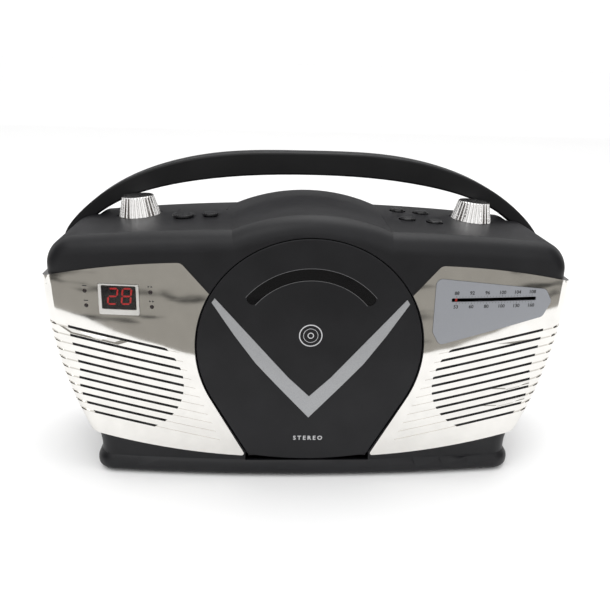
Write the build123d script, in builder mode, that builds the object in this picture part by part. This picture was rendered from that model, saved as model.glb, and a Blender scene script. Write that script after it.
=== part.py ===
"""Portable compact-disc radio with a round-topped case, two speakers and a folding handle.

Millimetres. The origin is on the surface it stands on, under the middle of the case.
+X is the listener's right, the front faces -Y and +Z is up.
"""
from build123d import *
import os
from math import atan2, cos, degrees, radians, sin, sqrt

os.makedirs("parts", exist_ok=True)

# ---- case ---------------------------------------------------------------------
FRONT_Y = -60.0          # front face on the centre line
FRONT_BOW = 1200.0       # plan radius of the bowed front
REAR_Y = 54.0
PARTING_Y = 30.0         # joint between the front and rear shells
WALL = 3.0
CROWN_Z = 173.5
CROWN_R = 1490.0
SIDE_R = 267.6
SIDE_CENTRE = (-95.4, 144.5)
CORNER_X = 171.5         # where crown and side would meet, before rounding
CORNER_Z = 163.6
SHOULDER_R = 20.0
WAIST_X = 143.5
WAIST_Z = 24.0
EDGE_R = 12.0            # rounding of the front and rear edges
HUMP_R = 133.0
HUMP_Z = 50.0            # height of the hump circle's centre
PLINTH_X = 146.5
PLINTH_FRONT_Y = -63.0
PLINTH_REAR_Y = 57.0
PLINTH_TOP = 14.0
UNDERSIDE_Z = 1.5

# ---- disc door ------------------------------------------------------------------
DISC_X, DISC_Z = 0.0, 95.0
DOOR_R = 75.0
DOOR_TANGENT = (65.1, 57.8)
DOOR_FOOT = (41.0, 16.4)
DOOR_BOTTOM_Z = 13.2
DOOR_T = 2.6
DOOR_GAP = 0.6
HINGE_Y, HINGE_Z = -57.4, 18.0
HINGE_PIN_R = 0.8
BAY_FLOOR_Y = -47.5
HUB_R = 7.4

# ---- speakers and trim --------------------------------------------------------------
SPEAKER_X, SPEAKER_Z = 118.9, 68.5
SPEAKER_R = 35.2
SLOT_COUNT = 11
SLOT_PITCH = 5.71
SLOT_WIDTH = 1.8
SLOT_TILT = 11.67
TRIM_PROUD = 1.0
TRIM_REAR_Y = 6.0

# ---- controls ---------------------------------------------------------------------
KNOB_X, KNOB_Y, KNOB_Z = 119.3, 12.6, 168.3
KNOB_LEAN = 4.8
KNOB_BASE_R, KNOB_TOP_R, KNOB_H = 14.5, 11.0, 13.6
KNOB_FLUTES = 30
SHAFT_R = 3.0
SHAFT_PLAY = 0.05
BUTTON_R = 5.0
BUTTON_TRAVEL = 1.2
BUTTON_SINK = 0.3        # underside of a button's cap below the crown
BUTTON_PLACES = [(66.8, 23.0), (83.4, 20.0), (68.9, -6.0), (87.5, -10.0)]
SLIDERS = {"function": (-87.0, -5.0, 7.5, 3.0), "band": (-68.4, -4.0, 5.6, 2.0)}

# ---- handle ------------------------------------------------------------------------
PIVOT_X, PIVOT_Y, PIVOT_Z = 176.3, 34.0, 133.0
STRAP_DEPTH = 17.0
STRAP_OUTER = [(0, 79.4), (77, 75.0), (122, 62), (151, 45.5), (173, 24.5), (179.3, 0)]
STRAP_INNER = [(0, 63.5), (77, 58.5), (111, 51.5), (141, 39.5), (167.5, 17.5), (173.3, 0)]
PIVOT_R = 3.0


def front_y(x, depth=0.0):
    """Y of the bowed front at x, `depth` under its skin."""
    return FRONT_Y + FRONT_BOW - sqrt((FRONT_BOW - depth) ** 2 - x**2)


def upright(y):
    """Plane facing the front at depth y, with local x = X and local y = Z."""
    return Plane.XZ.offset(-y)


def crown_z(x):
    """Height of the flat-topped crown at x."""
    return CROWN_Z - x**2 / (2 * CROWN_R)


def trim_to_front(depth):
    """Keep what lies behind the bowed front, `depth` under its skin."""
    with Locations((0, FRONT_Y + FRONT_BOW, 100)):
        Cylinder(radius=FRONT_BOW - depth, height=400, mode=Mode.INTERSECT)


def case_profile(inset):
    """Crown, sides and waist of the case as a filled sketch, `inset` under the skin."""
    side_dx = sqrt(SIDE_R**2 - (70 - SIDE_CENTRE[1]) ** 2)
    with BuildSketch() as outline:
        with BuildLine():
            crown = ThreePointArc((-CORNER_X, CORNER_Z), (0, CROWN_Z), (CORNER_X, CORNER_Z))
            right = ThreePointArc(crown @ 1, (SIDE_CENTRE[0] + side_dx, 70), (WAIST_X, WAIST_Z))
            left = ThreePointArc(crown @ 0, (-SIDE_CENTRE[0] - side_dx, 70), (-WAIST_X, WAIST_Z))
            Polyline(right @ 1, (WAIST_X, 6), (-WAIST_X, 6), left @ 1)
        make_face()
        fillet(outline.vertices().filter_by(lambda v: v.Y > 100), SHOULDER_R)
        fillet(outline.vertices().filter_by(lambda v: 10 < v.Y < 30), 30)
        if inset:
            offset(amount=-inset, kind=Kind.INTERSECTION, mode=Mode.REPLACE)
    return outline.sketch


def case_block(inset):
    """The whole outer form of the case, or the hollow `inset` under its skin."""
    front_edge = EDGE_R - inset
    with BuildPart() as main:
        with BuildSketch(upright(REAR_Y - inset)):
            add(case_profile(inset))
        extrude(amount=140)
        trim_to_front(inset)
        rims = main.edges().filter_by(lambda e: e.center().Z > 10)
        fillet(rims.filter_by(lambda e: e.bounding_box().size.Y < 30), front_edge)
    hump_inset = inset * 1.15
    with BuildPart() as hump:
        with BuildSketch(upright(REAR_Y - hump_inset)):
            with Locations((0, HUMP_Z)):
                Circle(HUMP_R - hump_inset)
        extrude(amount=140)
        trim_to_front(hump_inset)
        fillet(hump.edges().filter_by(lambda e: e.bounding_box().size.Y < 30), front_edge)
        with Locations((0, 0, 120)):
            Box(300, 300, 120, align=(Align.CENTER, Align.CENTER, Align.MIN), mode=Mode.INTERSECT)
    with BuildPart() as plinth:
        with BuildSketch(Plane.XY.offset(UNDERSIDE_Z + inset)):
            corner_y = PLINTH_FRONT_Y + PLINTH_X**2 / (2 * FRONT_BOW)
            with BuildLine():
                bow = ThreePointArc((-PLINTH_X, corner_y), (0, PLINTH_FRONT_Y), (PLINTH_X, corner_y))
                Polyline(bow @ 1, (PLINTH_X, PLINTH_REAR_Y), (-PLINTH_X, PLINTH_REAR_Y), bow @ 0)
            make_face()
            fillet(vertices(), 14)
            if inset:
                offset(amount=-inset, mode=Mode.REPLACE)
        extrude(amount=PLINTH_TOP - UNDERSIDE_Z - 2 * inset)
        fillet(plinth.faces().sort_by(Axis.Z)[-1].edges(), 7 - inset)
        fillet(plinth.faces().sort_by(Axis.Z)[0].edges(), 4 - inset)
    with BuildPart() as block:
        add(main.part)
        add(hump.part)
        add(plinth.part)
    return block.part


def handle_profile(clearance):
    """Everything outside the strap's inner edge, measured from the pivot line."""
    inner = [(x - clearance * 0.7, z - clearance) for x, z in STRAP_INNER[1:-1]]
    last = (STRAP_INNER[-1][0] - clearance, 0)
    with BuildSketch() as outside:
        with BuildLine():
            right = Spline(*inner, last)
            Polyline(right @ 1, (200, 0), (200, 110), (inner[0][0], 110), right @ 0)
        make_face()
        mirror(about=Plane.YZ)
    return outside.sketch


def handle_sweep(clearance):
    """Space swept by the handle between upright and folded back, grown by `clearance`."""
    half_depth = STRAP_DEPTH / 2 + clearance
    with BuildPart() as sweep_space:
        with BuildSketch(Plane((0, PIVOT_Y, PIVOT_Z), x_dir=(1, 0, 0), z_dir=(0, -1, 0))):
            add(handle_profile(clearance))
        extrude(amount=half_depth, both=True)
        with BuildSketch(Plane((0, PIVOT_Y, PIVOT_Z), x_dir=(1, 0, 0), z_dir=(0, 0, 1))):
            add(handle_profile(clearance))
        extrude(amount=half_depth, both=True)
        with BuildSketch(Plane((0, PIVOT_Y, PIVOT_Z), x_dir=(1, 0, 0), z_dir=(0, -1, 0))):
            add(handle_profile(clearance))
        revolve(axis=Axis((0, PIVOT_Y, PIVOT_Z), (-1, 0, 0)), revolution_arc=90)
    return sweep_space.part


def door_profile(grow):
    """Outline of the disc door, grown by `grow`, as a filled sketch."""
    tx, tz = DOOR_TANGENT
    fx, fz = DOOR_FOOT
    with BuildSketch() as outline:
        with BuildLine():
            top = ThreePointArc((-tx, tz), (0, DISC_Z + DOOR_R), (tx, tz))
            right = Line(top @ 1, (fx, fz))
            bottom = ThreePointArc(right @ 1, (0, DOOR_BOTTOM_Z), (-fx, fz))
            Line(bottom @ 1, top @ 0)
        make_face()
        fillet(outline.vertices().filter_by(lambda v: v.Y < 20), 2.0)
        if grow:
            offset(amount=grow, kind=Kind.INTERSECTION, mode=Mode.REPLACE)
    return outline.sketch


def save(part, name):
    """Label one finished piece and write it."""
    part.label = name
    export_step(part, f"parts/{name}.step")


def peg(plane, radius, depth, both=False, mode=Mode.ADD):
    """Round bar or hole on a plane's origin, along its normal, in the current part."""
    turn = Cylinder(radius, depth, align=(Align.CENTER, Align.CENTER, Align.MIN), mode=Mode.PRIVATE)
    if both:
        turn = Cylinder(radius, depth, mode=Mode.PRIVATE)
    add(plane * turn, mode=mode)


def block(x, y, z, mode=Mode.ADD):
    """Box between the given (low, high) pairs, in the current part."""
    size = (x[1] - x[0], y[1] - y[0], z[1] - z[0])
    middle = ((x[0] + x[1]) / 2, (y[0] + y[1]) / 2, (z[0] + z[1]) / 2)
    with Locations(middle):
        Box(*size, mode=mode)


def facing(x, y, z):
    """Plane at a point, facing the front."""
    return Plane((x, y, z), x_dir=(1, 0, 0), z_dir=(0, -1, 0))


def upward(x, y, z):
    """Plane at a point, facing up."""
    return Plane((x, y, z), x_dir=(1, 0, 0), z_dir=(0, 0, 1))


def sideways(x, y, z):
    """Plane at a point, facing the listener's right."""
    return Plane((x, y, z), x_dir=(0, 1, 0), z_dir=(1, 0, 0))


def knob_plane(side, height=0.0):
    """Plane of a knob's seat, leaning outward, `height` along its axis."""
    lean = radians(KNOB_LEAN) * side
    up = Vector(sin(lean), 0, cos(lean))
    seat = Vector(side * KNOB_X, KNOB_Y, KNOB_Z) + up * height
    return Plane(seat, x_dir=(cos(lean), 0, -sin(lean)), z_dir=up)


CASE = case_block(0.0)
HOLLOW = case_block(WALL)
HANDLE_CLEAR = handle_sweep(1.2)
HANDLE_WALL = handle_sweep(1.2 + WALL)
MIRRORS = {"left": -1, "right": 1}

# ---- case shells ------------------------------------------------------------------
with BuildPart() as room:
    add(HOLLOW)
    add(HANDLE_WALL, mode=Mode.SUBTRACT)

BOSSES = [(-128, 20), (128, 20), (-100, 155), (100, 155)]
BOSS_R = 4.0
SCREW_R = 1.5
POST_Y = 8.0             # rear face of the main board's posts
BOARD_POSTS = [(-68, 78), (68, 78), (-60, 150), (60, 150)]
FEET = [(-112, -40), (112, -40), (-112, 36), (112, 36)]
DISPLAY = (-124.0, 127.0)
DISPLAY_SIZE = (26.3, 20.6)
DIAL_MIDDLE = (121.0, 129.6)
DIAL_SLOT = (58.2, 2.6)
LAMPS = [(-145.9, 131.9), (-145.5, 122.0), (-103.4, 132.6), (-102.8, 122.8)]
BATTERY_X, BATTERY_Z = 78.0, (14.0, 72.0)
BATTERY_HINGE_Y, BATTERY_HINGE_Z = 52.6, 15.9
INLET_X, INLET_Z = -112.0, 34.0
AERIAL_X, AERIAL_Y, AERIAL_Z = 84.0, 58.6, 153.0

with BuildPart() as case_wall:
    add(CASE)
    add(HANDLE_CLEAR, mode=Mode.SUBTRACT)
    add(room.part, mode=Mode.SUBTRACT)

with BuildPart() as front_bosses:
    for side in (-1, 1):
        # seat ring for each speaker, door hinge boss and knob seat
        peg(facing(side * SPEAKER_X, -42, SPEAKER_Z), 38.5, 14)
        block((side * 46.4 - 3.5, side * 46.4 + 3.5), (-58, -52), (13.5, 22.5))
        peg(knob_plane(side, -7), 17.5, 7)
    for x, z in BOSSES:
        peg(facing(x, PARTING_Y, z), BOSS_R, 84)
    add(CASE, mode=Mode.INTERSECT)
    add(HANDLE_CLEAR, mode=Mode.SUBTRACT)

with BuildPart() as front_shell:
    add(case_wall.part)
    add(front_bosses.part)
    # speaker openings, disc door opening and the space the door's foot swings through
    for side in (-1, 1):
        peg(facing(side * SPEAKER_X, -20, SPEAKER_Z), SPEAKER_R + 0.4, 60, mode=Mode.SUBTRACT)
        peg(sideways(side * 46.4, HINGE_Y, HINGE_Z), HINGE_PIN_R + 0.06, 12, both=True, mode=Mode.SUBTRACT)
        peg(knob_plane(side, 0.0), KNOB_BASE_R + 1.4, 12, mode=Mode.SUBTRACT)
        peg(knob_plane(side, -20), SHAFT_R + 1.2, 30, mode=Mode.SUBTRACT)
    with BuildSketch(upright(-40)):
        add(door_profile(DOOR_GAP))
    extrude(amount=40, mode=Mode.SUBTRACT)
    peg(sideways(0, HINGE_Y, HINGE_Z), 6.2, 85.6, both=True, mode=Mode.SUBTRACT)
    # windows behind the display and the tuning scale, and holes for the lamps
    block((-136, -112), (-70, -30), (118.5, 135.5), mode=Mode.SUBTRACT)
    block((86, 155), (-70, -30), (124, 136), mode=Mode.SUBTRACT)
    for x, z in LAMPS:
        peg(facing(x, -30, z), 1.6, 40, mode=Mode.SUBTRACT)
    # push-button holes in shallow dishes, and slots for the slide switches
    for x, y in BUTTON_PLACES:
        dish_z = crown_z(x) - BUTTON_SINK - BUTTON_TRAVEL - 0.3
        peg(upward(x, y, dish_z), BUTTON_R + 1.1, 14, mode=Mode.SUBTRACT)
        peg(upward(x, y, 150), 3.0, 30, mode=Mode.SUBTRACT)
    for x, y, radius, travel in SLIDERS.values():
        with Locations((x, y, crown_z(x) + radius * 2.1)):
            Sphere(radius * 2.35, mode=Mode.SUBTRACT)
        block((x - travel - 2.4, x + travel + 2.4), (y - 2.4, y + 2.4), (150, 180), mode=Mode.SUBTRACT)
    for x, z in BOSSES:
        peg(facing(x, PARTING_Y, z), SCREW_R, 16, mode=Mode.SUBTRACT)
    for x, y in FEET:
        if y < 0:
            peg(upward(x, y, 0), 2.5, 6, mode=Mode.SUBTRACT)
    block((-200, 200), (PARTING_Y, 100), (-10, 240), mode=Mode.SUBTRACT)

with BuildPart() as rear_bosses:
    for x, z in BOSSES:
        peg(facing(x, 56, z), BOSS_R + 2.0, 56 - PARTING_Y)
    for side in (-1, 1):
        peg(sideways(side * 162, PIVOT_Y, PIVOT_Z), 7.0, 24, both=True)
    block((-200, 200), (-100, PARTING_Y), (-10, 240), mode=Mode.SUBTRACT)
    add(CASE, mode=Mode.INTERSECT)
    add(HANDLE_CLEAR, mode=Mode.SUBTRACT)
    for x, z in BOARD_POSTS:
        peg(facing(x, 52, z), 3.0, 52 - POST_Y)

with BuildPart() as rear_shell:
    add(case_wall.part)
    block((-200, 200), (-100, PARTING_Y), (-10, 240), mode=Mode.SUBTRACT)
    add(rear_bosses.part)
    for side in (-1, 1):
        peg(sideways(side * 170, PIVOT_Y, PIVOT_Z), PIVOT_R, 60, both=True, mode=Mode.SUBTRACT)
    peg(facing(AERIAL_X, 60, AERIAL_Z), 2.06, 20, mode=Mode.SUBTRACT)
    for x, z in BOSSES:
        peg(facing(x, 60, z), SCREW_R + 0.2, 40, mode=Mode.SUBTRACT)
        peg(facing(x, 60, z), 3.4, 60 - PARTING_Y - 4, mode=Mode.SUBTRACT)
    block((-BATTERY_X, BATTERY_X), (40, 70), BATTERY_Z, mode=Mode.SUBTRACT)
    peg(sideways(0, BATTERY_HINGE_Y, BATTERY_HINGE_Z), 0.86, 2 * BATTERY_X + 4, both=True, mode=Mode.SUBTRACT)
    block((INLET_X - 9, INLET_X + 9), (40, 70), (INLET_Z - 6, INLET_Z + 6), mode=Mode.SUBTRACT)
    for x, y in FEET:
        if y > 0:
            peg(upward(x, y, 0), 2.5, 6, mode=Mode.SUBTRACT)
    # cooling slots high on the rear
    for i in range(6):
        block((-50 + 20 * i - 7, -50 + 20 * i + 7), (40, 70), (104, 106.4), mode=Mode.SUBTRACT)
        block((-50 + 20 * i - 7, -50 + 20 * i + 7), (40, 70), (112, 114.4), mode=Mode.SUBTRACT)

save(front_shell.part, "front_shell")
save(rear_shell.part, "rear_shell")

# ---- chrome trim panels -------------------------------------------------------------
def trim_profile(inset):
    """Outline of the right-hand trim panel, `inset` inside its outer edge only."""
    with BuildSketch() as outline:
        with BuildLine():
            top = ThreePointArc((83.6, 152.8), (130, 148.6), (174.6 - inset, 140.2))
            side = ThreePointArc(top @ 1, (169.5 - inset, 91), (149.8 - inset, 31.6))
            bottom = ThreePointArc(side @ 1, (94.5, 20.8), (42.6, 16.0))
            inner = Line(bottom @ 1, (65.8, 57.4))
            rim = ThreePointArc(inner @ 1, (76, DISC_Z), (66.0, 132.7))
            Line(rim @ 1, top @ 0)
        make_face()
        fillet(outline.vertices().sort_by(Axis.Y)[-1], 5.0)
        fillet(outline.vertices().filter_by(lambda v: v.X < 45), 1.6)
    return outline.sketch


def trim_block(inset):
    """Outer form of the right-hand trim panel, or its core `inset` under the skin."""
    with BuildPart() as form:
        with BuildSketch(upright(TRIM_REAR_Y)):
            add(trim_profile(inset))
        extrude(amount=90)
        trim_to_front(inset - TRIM_PROUD)
        corner = form.edges().filter_by(lambda e: e.center().X > 145 and e.center().Y < -30)
        fillet(corner.filter_by(lambda e: e.length > 60), 8.0 - inset)
    return form.part


SLOT_FIRST = 29.5        # height of the top slot above the speaker's centre, square to the slots
TRIM_CORE = trim_block(1.0)

with BuildPart() as slot_fields:
    with BuildSketch(upright(0)):
        with Locations(Location((SPEAKER_X, SPEAKER_Z), SLOT_TILT)):
            with GridLocations(1, SLOT_PITCH, 1, SLOT_COUNT):
                with Locations((0, SLOT_FIRST - SLOT_PITCH * (SLOT_COUNT - 1) / 2)):
                    Rectangle(90, SLOT_WIDTH)
        with Locations((SPEAKER_X, SPEAKER_Z)):
            Circle(SPEAKER_R, mode=Mode.INTERSECT)
    extrude(amount=80)

with BuildPart() as outer_grooves:
    with BuildSketch(upright(TRIM_REAR_Y + 5)):
        with Locations(Location((SPEAKER_X, SPEAKER_Z), SLOT_TILT)):
            with GridLocations(1, SLOT_PITCH, 1, SLOT_COUNT):
                with Locations((60, SLOT_FIRST - SLOT_PITCH * (SLOT_COUNT - 1) / 2)):
                    Rectangle(120, SLOT_WIDTH)
        with Locations((SPEAKER_X, SPEAKER_Z)):
            Circle(SPEAKER_R - 0.5, mode=Mode.SUBTRACT)
    extrude(amount=90)
    add(TRIM_CORE, mode=Mode.SUBTRACT)

with BuildPart() as inner_grooves:
    with BuildSketch(upright(TRIM_REAR_Y + 5)):
        with Locations(Location((SPEAKER_X, SPEAKER_Z), SLOT_TILT)):
            with GridLocations(1, SLOT_PITCH, 1, SLOT_COUNT):
                with Locations((-40, SLOT_FIRST - SLOT_PITCH * (SLOT_COUNT - 1) / 2)):
                    Rectangle(80, 1.1)
        with Locations((SPEAKER_X, SPEAKER_Z)):
            Circle(SPEAKER_R - 0.5, mode=Mode.SUBTRACT)
        with BuildLine():
            Polyline((88.3, 96), (59, 25), (200, 25), (200, 96), close=True)
        make_face(mode=Mode.INTERSECT)
    extrude(amount=90)
    with Locations((0, FRONT_Y + FRONT_BOW, 100)):
        Cylinder(radius=FRONT_BOW + 0.5, height=400, mode=Mode.SUBTRACT)

with BuildPart() as trim_plain:
    add(trim_block(0.0))
    add(CASE, mode=Mode.SUBTRACT)
    add(slot_fields.part, mode=Mode.SUBTRACT)
    add(outer_grooves.part, mode=Mode.SUBTRACT)
    add(inner_grooves.part, mode=Mode.SUBTRACT)


def dial_profile(grow):
    """Rounded wedge of the tuning scale."""
    with BuildSketch() as wedge:
        with BuildLine():
            Polyline((80.6, 144.6), (156.6, 135.9), (161.6, 127.3), (156.4, 116.6), (86.0, 98.2),
                     (80.9, 107.5), close=True)
        make_face()
        fillet(wedge.vertices(), 4.0)
        if grow:
            offset(amount=grow, mode=Mode.REPLACE)
    return wedge.sketch


with BuildPart() as right_trim_panel:
    add(trim_plain.part)
    with BuildSketch(upright(-30)):
        add(dial_profile(0.2))
    extrude(amount=50, mode=Mode.SUBTRACT)

with BuildPart() as left_trim_panel:
    mirror(trim_plain.part, about=Plane.YZ)
    with BuildSketch(upright(-30)):
        with Locations(DISPLAY):
            RectangleRounded(DISPLAY_SIZE[0] + 0.4, DISPLAY_SIZE[1] + 0.4, 1.4)
    extrude(amount=50, mode=Mode.SUBTRACT)
    for x, z in LAMPS:
        peg(facing(x, -30, z), 1.35, 40, mode=Mode.SUBTRACT)

save(left_trim_panel.part, "left_trim_panel")
save(right_trim_panel.part, "right_trim_panel")

# ---- speakers ---------------------------------------------------------------------
for name, side in MIRRORS.items():
    x = side * SPEAKER_X

    with BuildPart() as mesh:
        peg(facing(x, -30, SPEAKER_Z), SPEAKER_R, 50)
        trim_to_front(0.7)
        add(CASE, mode=Mode.INTERSECT)
        with Locations((0, FRONT_Y + FRONT_BOW, 100)):
            Cylinder(radius=FRONT_BOW - 1.6, height=400, mode=Mode.SUBTRACT)
    save(mesh.part, f"{name}_speaker_mesh")

    with BuildPart() as basket:
        with BuildSketch(Plane((x, -42, SPEAKER_Z), x_dir=(1, 0, 0), z_dir=(0, 0, 1))):
            with BuildLine():
                Polyline((13, 24), (15, 24), (15, 22), (35, 4), (35, 2), (36.6, 2), (36.6, 0), (33, 0),
                         (33, 3), (13.4, 20), (13, 20), close=True)
            make_face()
        revolve(axis=Axis((x, 0, SPEAKER_Z), (0, 1, 0)))
        for i in range(4):
            window = Pos(x, -28, SPEAKER_Z) * Rot(0, 90 * i + 45, 0) * Pos(26, 0, 0)
            add(window * Box(20, 12, 22, mode=Mode.PRIVATE), mode=Mode.SUBTRACT)
    save(basket.part, f"{name}_speaker_basket")

    with BuildPart() as cone:
        with BuildSketch(Plane((x, -42, SPEAKER_Z), x_dir=(1, 0, 0), z_dir=(0, 0, 1))):
            with BuildLine():
                Polyline((0, 11), (8, 13.5), (24, 1.8), (26, 0.6), (29, -0.8), (32.6, 0.4),
                         (32.6, 1.2), (29, 0.1), (26, 1.6), (8.6, 15), (8.6, 21), (7.6, 21),
                         (7.6, 14.6), (0, 12), close=True)
            make_face()
        revolve(axis=Axis((x, 0, SPEAKER_Z), (0, 1, 0)))
    save(cone.part, f"{name}_speaker_cone")

    with BuildPart() as magnet:
        peg(facing(x, 4, SPEAKER_Z), 22, 12)
        peg(facing(x, -8, SPEAKER_Z), 12.8, 10)
        peg(facing(x, -8, SPEAKER_Z), 9.4, 20, mode=Mode.SUBTRACT)
        peg(facing(x, -8, SPEAKER_Z), 6.8, 9.5)
        peg(facing(x, 4, SPEAKER_Z), 22, 10)
    save(magnet.part, f"{name}_speaker_magnet")

# ---- display and tuning scale ----------------------------------------------------------
with BuildPart() as display_bezel:
    with BuildSketch(upright(-46)):
        with Locations(DISPLAY):
            RectangleRounded(*DISPLAY_SIZE, 1.2)
        with Locations((DISPLAY[0] + 0.1, DISPLAY[1] + 1.3)):
            RectangleRounded(22.5, 16.1, 1.0, mode=Mode.SUBTRACT)
    extrude(amount=30)
    trim_to_front(-TRIM_PROUD - 0.5)
    with Locations((0, FRONT_Y + FRONT_BOW, 100)):
        Cylinder(radius=FRONT_BOW, height=400, mode=Mode.SUBTRACT)
save(display_bezel.part, "display_bezel")

with BuildPart() as display_lens:
    with BuildSketch(upright(-46)):
        with Locations((DISPLAY[0] + 0.1, DISPLAY[1] + 1.3)):
            RectangleRounded(22.4, 16.0, 0.9)
    extrude(amount=30)
    trim_to_front(-0.9)
    with Locations((0, FRONT_Y + FRONT_BOW, 100)):
        Cylinder(radius=FRONT_BOW + 0.05, height=400, mode=Mode.SUBTRACT)
save(display_lens.part, "display_lens")

with BuildPart() as display_module:
    block((-135, -113), (-52.2, -46), (119.5, 134.5))
    block((-138, -100), (-46, -44.4), (114, 137))
save(display_module.part, "display_module")

with BuildPart() as dial_plate:
    with BuildSketch(upright(-30)):
        add(dial_profile(0))
        with Locations((DIAL_MIDDLE[0], DIAL_MIDDLE[1])):
            RectangleRounded(*DIAL_SLOT, 0.6, mode=Mode.SUBTRACT)
    extrude(amount=50)
    trim_to_front(-TRIM_PROUD - 0.35)
    add(CASE, mode=Mode.SUBTRACT)
save(dial_plate.part, "dial_plate")

# The scale follows the bowed front, so the pointer runs along the chord of its slot.
DIAL_TURN = atan2(front_y(148) - front_y(94), 54.0)
POINTER_TRAVEL = 50.0
POINTER_START = 95.5


def along_dial(distance, depth, z):
    """Plane on the pointer's line, `distance` from its rest place, `depth` behind it."""
    x = POINTER_START + distance * cos(DIAL_TURN) - depth * sin(DIAL_TURN)
    y = front_y(POINTER_START) + 0.9 + distance * sin(DIAL_TURN) + depth * cos(DIAL_TURN)
    ahead = (sin(DIAL_TURN), -cos(DIAL_TURN), 0)
    return Plane((x, y, z), x_dir=(cos(DIAL_TURN), sin(DIAL_TURN), 0), z_dir=ahead)


RAIL_Z = 141.0
with BuildPart() as dial_pointer:
    with BuildSketch(along_dial(0, 0.8, DIAL_MIDDLE[1])):
        Rectangle(1.3, 8.6)
    extrude(amount=0.8)
    with BuildSketch(along_dial(0, 6.0, RAIL_Z)):
        with Locations((0, -8.4)):
            Rectangle(1.3, 6.0)
    extrude(amount=6.0)
    with BuildSketch(along_dial(0, 10.0, RAIL_Z)):
        with Locations((0, -3.2)):
            Rectangle(7, 14.4)
    extrude(amount=4.5)
    rail_hole = Cylinder(1.55, 20, rotation=(0, 90, 0), mode=Mode.PRIVATE)
    add(along_dial(0, 7.7, RAIL_Z) * rail_hole, mode=Mode.SUBTRACT)
save(dial_pointer.part, "dial_pointer")

with BuildPart() as dial_rail:
    rod = Cylinder(1.5, POINTER_TRAVEL + 16, rotation=(0, 90, 0), mode=Mode.PRIVATE)
    add(along_dial(POINTER_TRAVEL / 2, 7.7, RAIL_Z) * rod)
    for end in (-6.5, POINTER_TRAVEL + 6.5):
        foot = Box(3, 12, 12, mode=Mode.PRIVATE)
        add(along_dial(end, 9.7, RAIL_Z) * foot)
    back = Box(POINTER_TRAVEL + 16, 12, 1.6, mode=Mode.PRIVATE)
    add(along_dial(POINTER_TRAVEL / 2, 14.9, RAIL_Z) * back)
save(dial_rail.part, "dial_rail")

# ---- disc bay and mechanism ---------------------------------------------------------------
BAY_BACK_Y = -45.0
with BuildPart() as bay_form:
    with BuildSketch(upright(BAY_BACK_Y)):
        add(door_profile(DOOR_GAP + 1.8))
    extrude(amount=30)
    add(HOLLOW, mode=Mode.INTERSECT)

with BuildPart() as cd_bay:
    add(bay_form.part)
    with BuildSketch(upright(BAY_FLOOR_Y)):
        add(door_profile(DOOR_GAP))
    extrude(amount=40, mode=Mode.SUBTRACT)
    block((-60, 60), (-70, -50.8), (0, 24.4), mode=Mode.SUBTRACT)
    for side in (-1, 1):
        peg(facing(side * SPEAKER_X, -30, SPEAKER_Z), 38.8, 60, mode=Mode.SUBTRACT)
    peg(facing(DISC_X, -40, DISC_Z), 16, 20, mode=Mode.SUBTRACT)
    block((10, 66), (-60, -40), (DISC_Z - 8, DISC_Z + 8), mode=Mode.SUBTRACT)
save(cd_bay.part, "cd_bay")

CHASSIS_Y = -38.0
RAIL_OFFSET = 15.0
SLED_START, SLED_TRAVEL = 23.0, 35.0
with BuildPart() as cd_chassis:
    block((-30, 76), (CHASSIS_Y, CHASSIS_Y + 1.6), (DISC_Z - 26, DISC_Z + 26))
    block((14, 70), (CHASSIS_Y - 1, CHASSIS_Y + 3), (DISC_Z - 12.6, DISC_Z + 12.6), mode=Mode.SUBTRACT)
    for x in (-26, 72):
        for z in (DISC_Z - 22, DISC_Z + 22):
            peg(facing(x, CHASSIS_Y, z), 2.6, CHASSIS_Y - BAY_BACK_Y)
    for z in (DISC_Z - RAIL_OFFSET, DISC_Z + RAIL_OFFSET):
        for x in (10, 74.5):
            block((x - 1.5, x + 1.5), (CHASSIS_Y, CHASSIS_Y + 9), (z - 3.5, z + 3.5))
            peg(sideways(x, CHASSIS_Y + 6, z), 1.5, 10, both=True, mode=Mode.SUBTRACT)
    peg(facing(DISC_X, -30, DISC_Z), 4.0, 20, mode=Mode.SUBTRACT)
save(cd_chassis.part, "cd_chassis")

with BuildPart() as spindle_motor:
    peg(facing(DISC_X, CHASSIS_Y + 12.6, DISC_Z), 9.0, 11)
    peg(facing(DISC_X, CHASSIS_Y + 12.6, DISC_Z), 3.9, 13.6)
    peg(facing(DISC_X, CHASSIS_Y + 9, DISC_Z), 1.04, 20, mode=Mode.SUBTRACT)
save(spindle_motor.part, "spindle_motor")

with BuildPart() as disc_hub:
    peg(facing(DISC_X, -47.4, DISC_Z), 14.0, 1.6)
    peg(facing(DISC_X, -47.4, DISC_Z), HUB_R, 4.1)
    chamfer(disc_hub.faces().sort_by(Axis.Y)[0].edges(), 0.8)
    peg(facing(DISC_X, -41.4, DISC_Z), 3.4, 6.5)
    peg(facing(DISC_X, CHASSIS_Y + 8, DISC_Z), 1.0, 14)
save(disc_hub.part, "disc_hub")

with BuildPart() as laser_sled:
    block((SLED_START - 8, SLED_START + 8), (CHASSIS_Y + 2.6, CHASSIS_Y + 9.4), (DISC_Z - 19, DISC_Z + 19))
    block((SLED_START - 6, SLED_START + 6), (-46.4, CHASSIS_Y + 3), (DISC_Z - 7, DISC_Z + 7))
    for z in (DISC_Z - RAIL_OFFSET, DISC_Z + RAIL_OFFSET):
        peg(sideways(SLED_START, CHASSIS_Y + 6, z), 1.55, 30, both=True, mode=Mode.SUBTRACT)
save(laser_sled.part, "laser_sled")

with BuildPart() as laser_lens:
    peg(facing(SLED_START, -46.4, DISC_Z), 3.4, 0.9)
    fillet(laser_lens.faces().sort_by(Axis.Y)[0].edges(), 0.6)
save(laser_lens.part, "laser_lens")

with BuildPart() as sled_rails:
    for z in (DISC_Z - RAIL_OFFSET, DISC_Z + RAIL_OFFSET):
        peg(sideways(42.25, CHASSIS_Y + 6, z), 1.5, 67.5, both=True)
save(sled_rails.part, "sled_rails")

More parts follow.
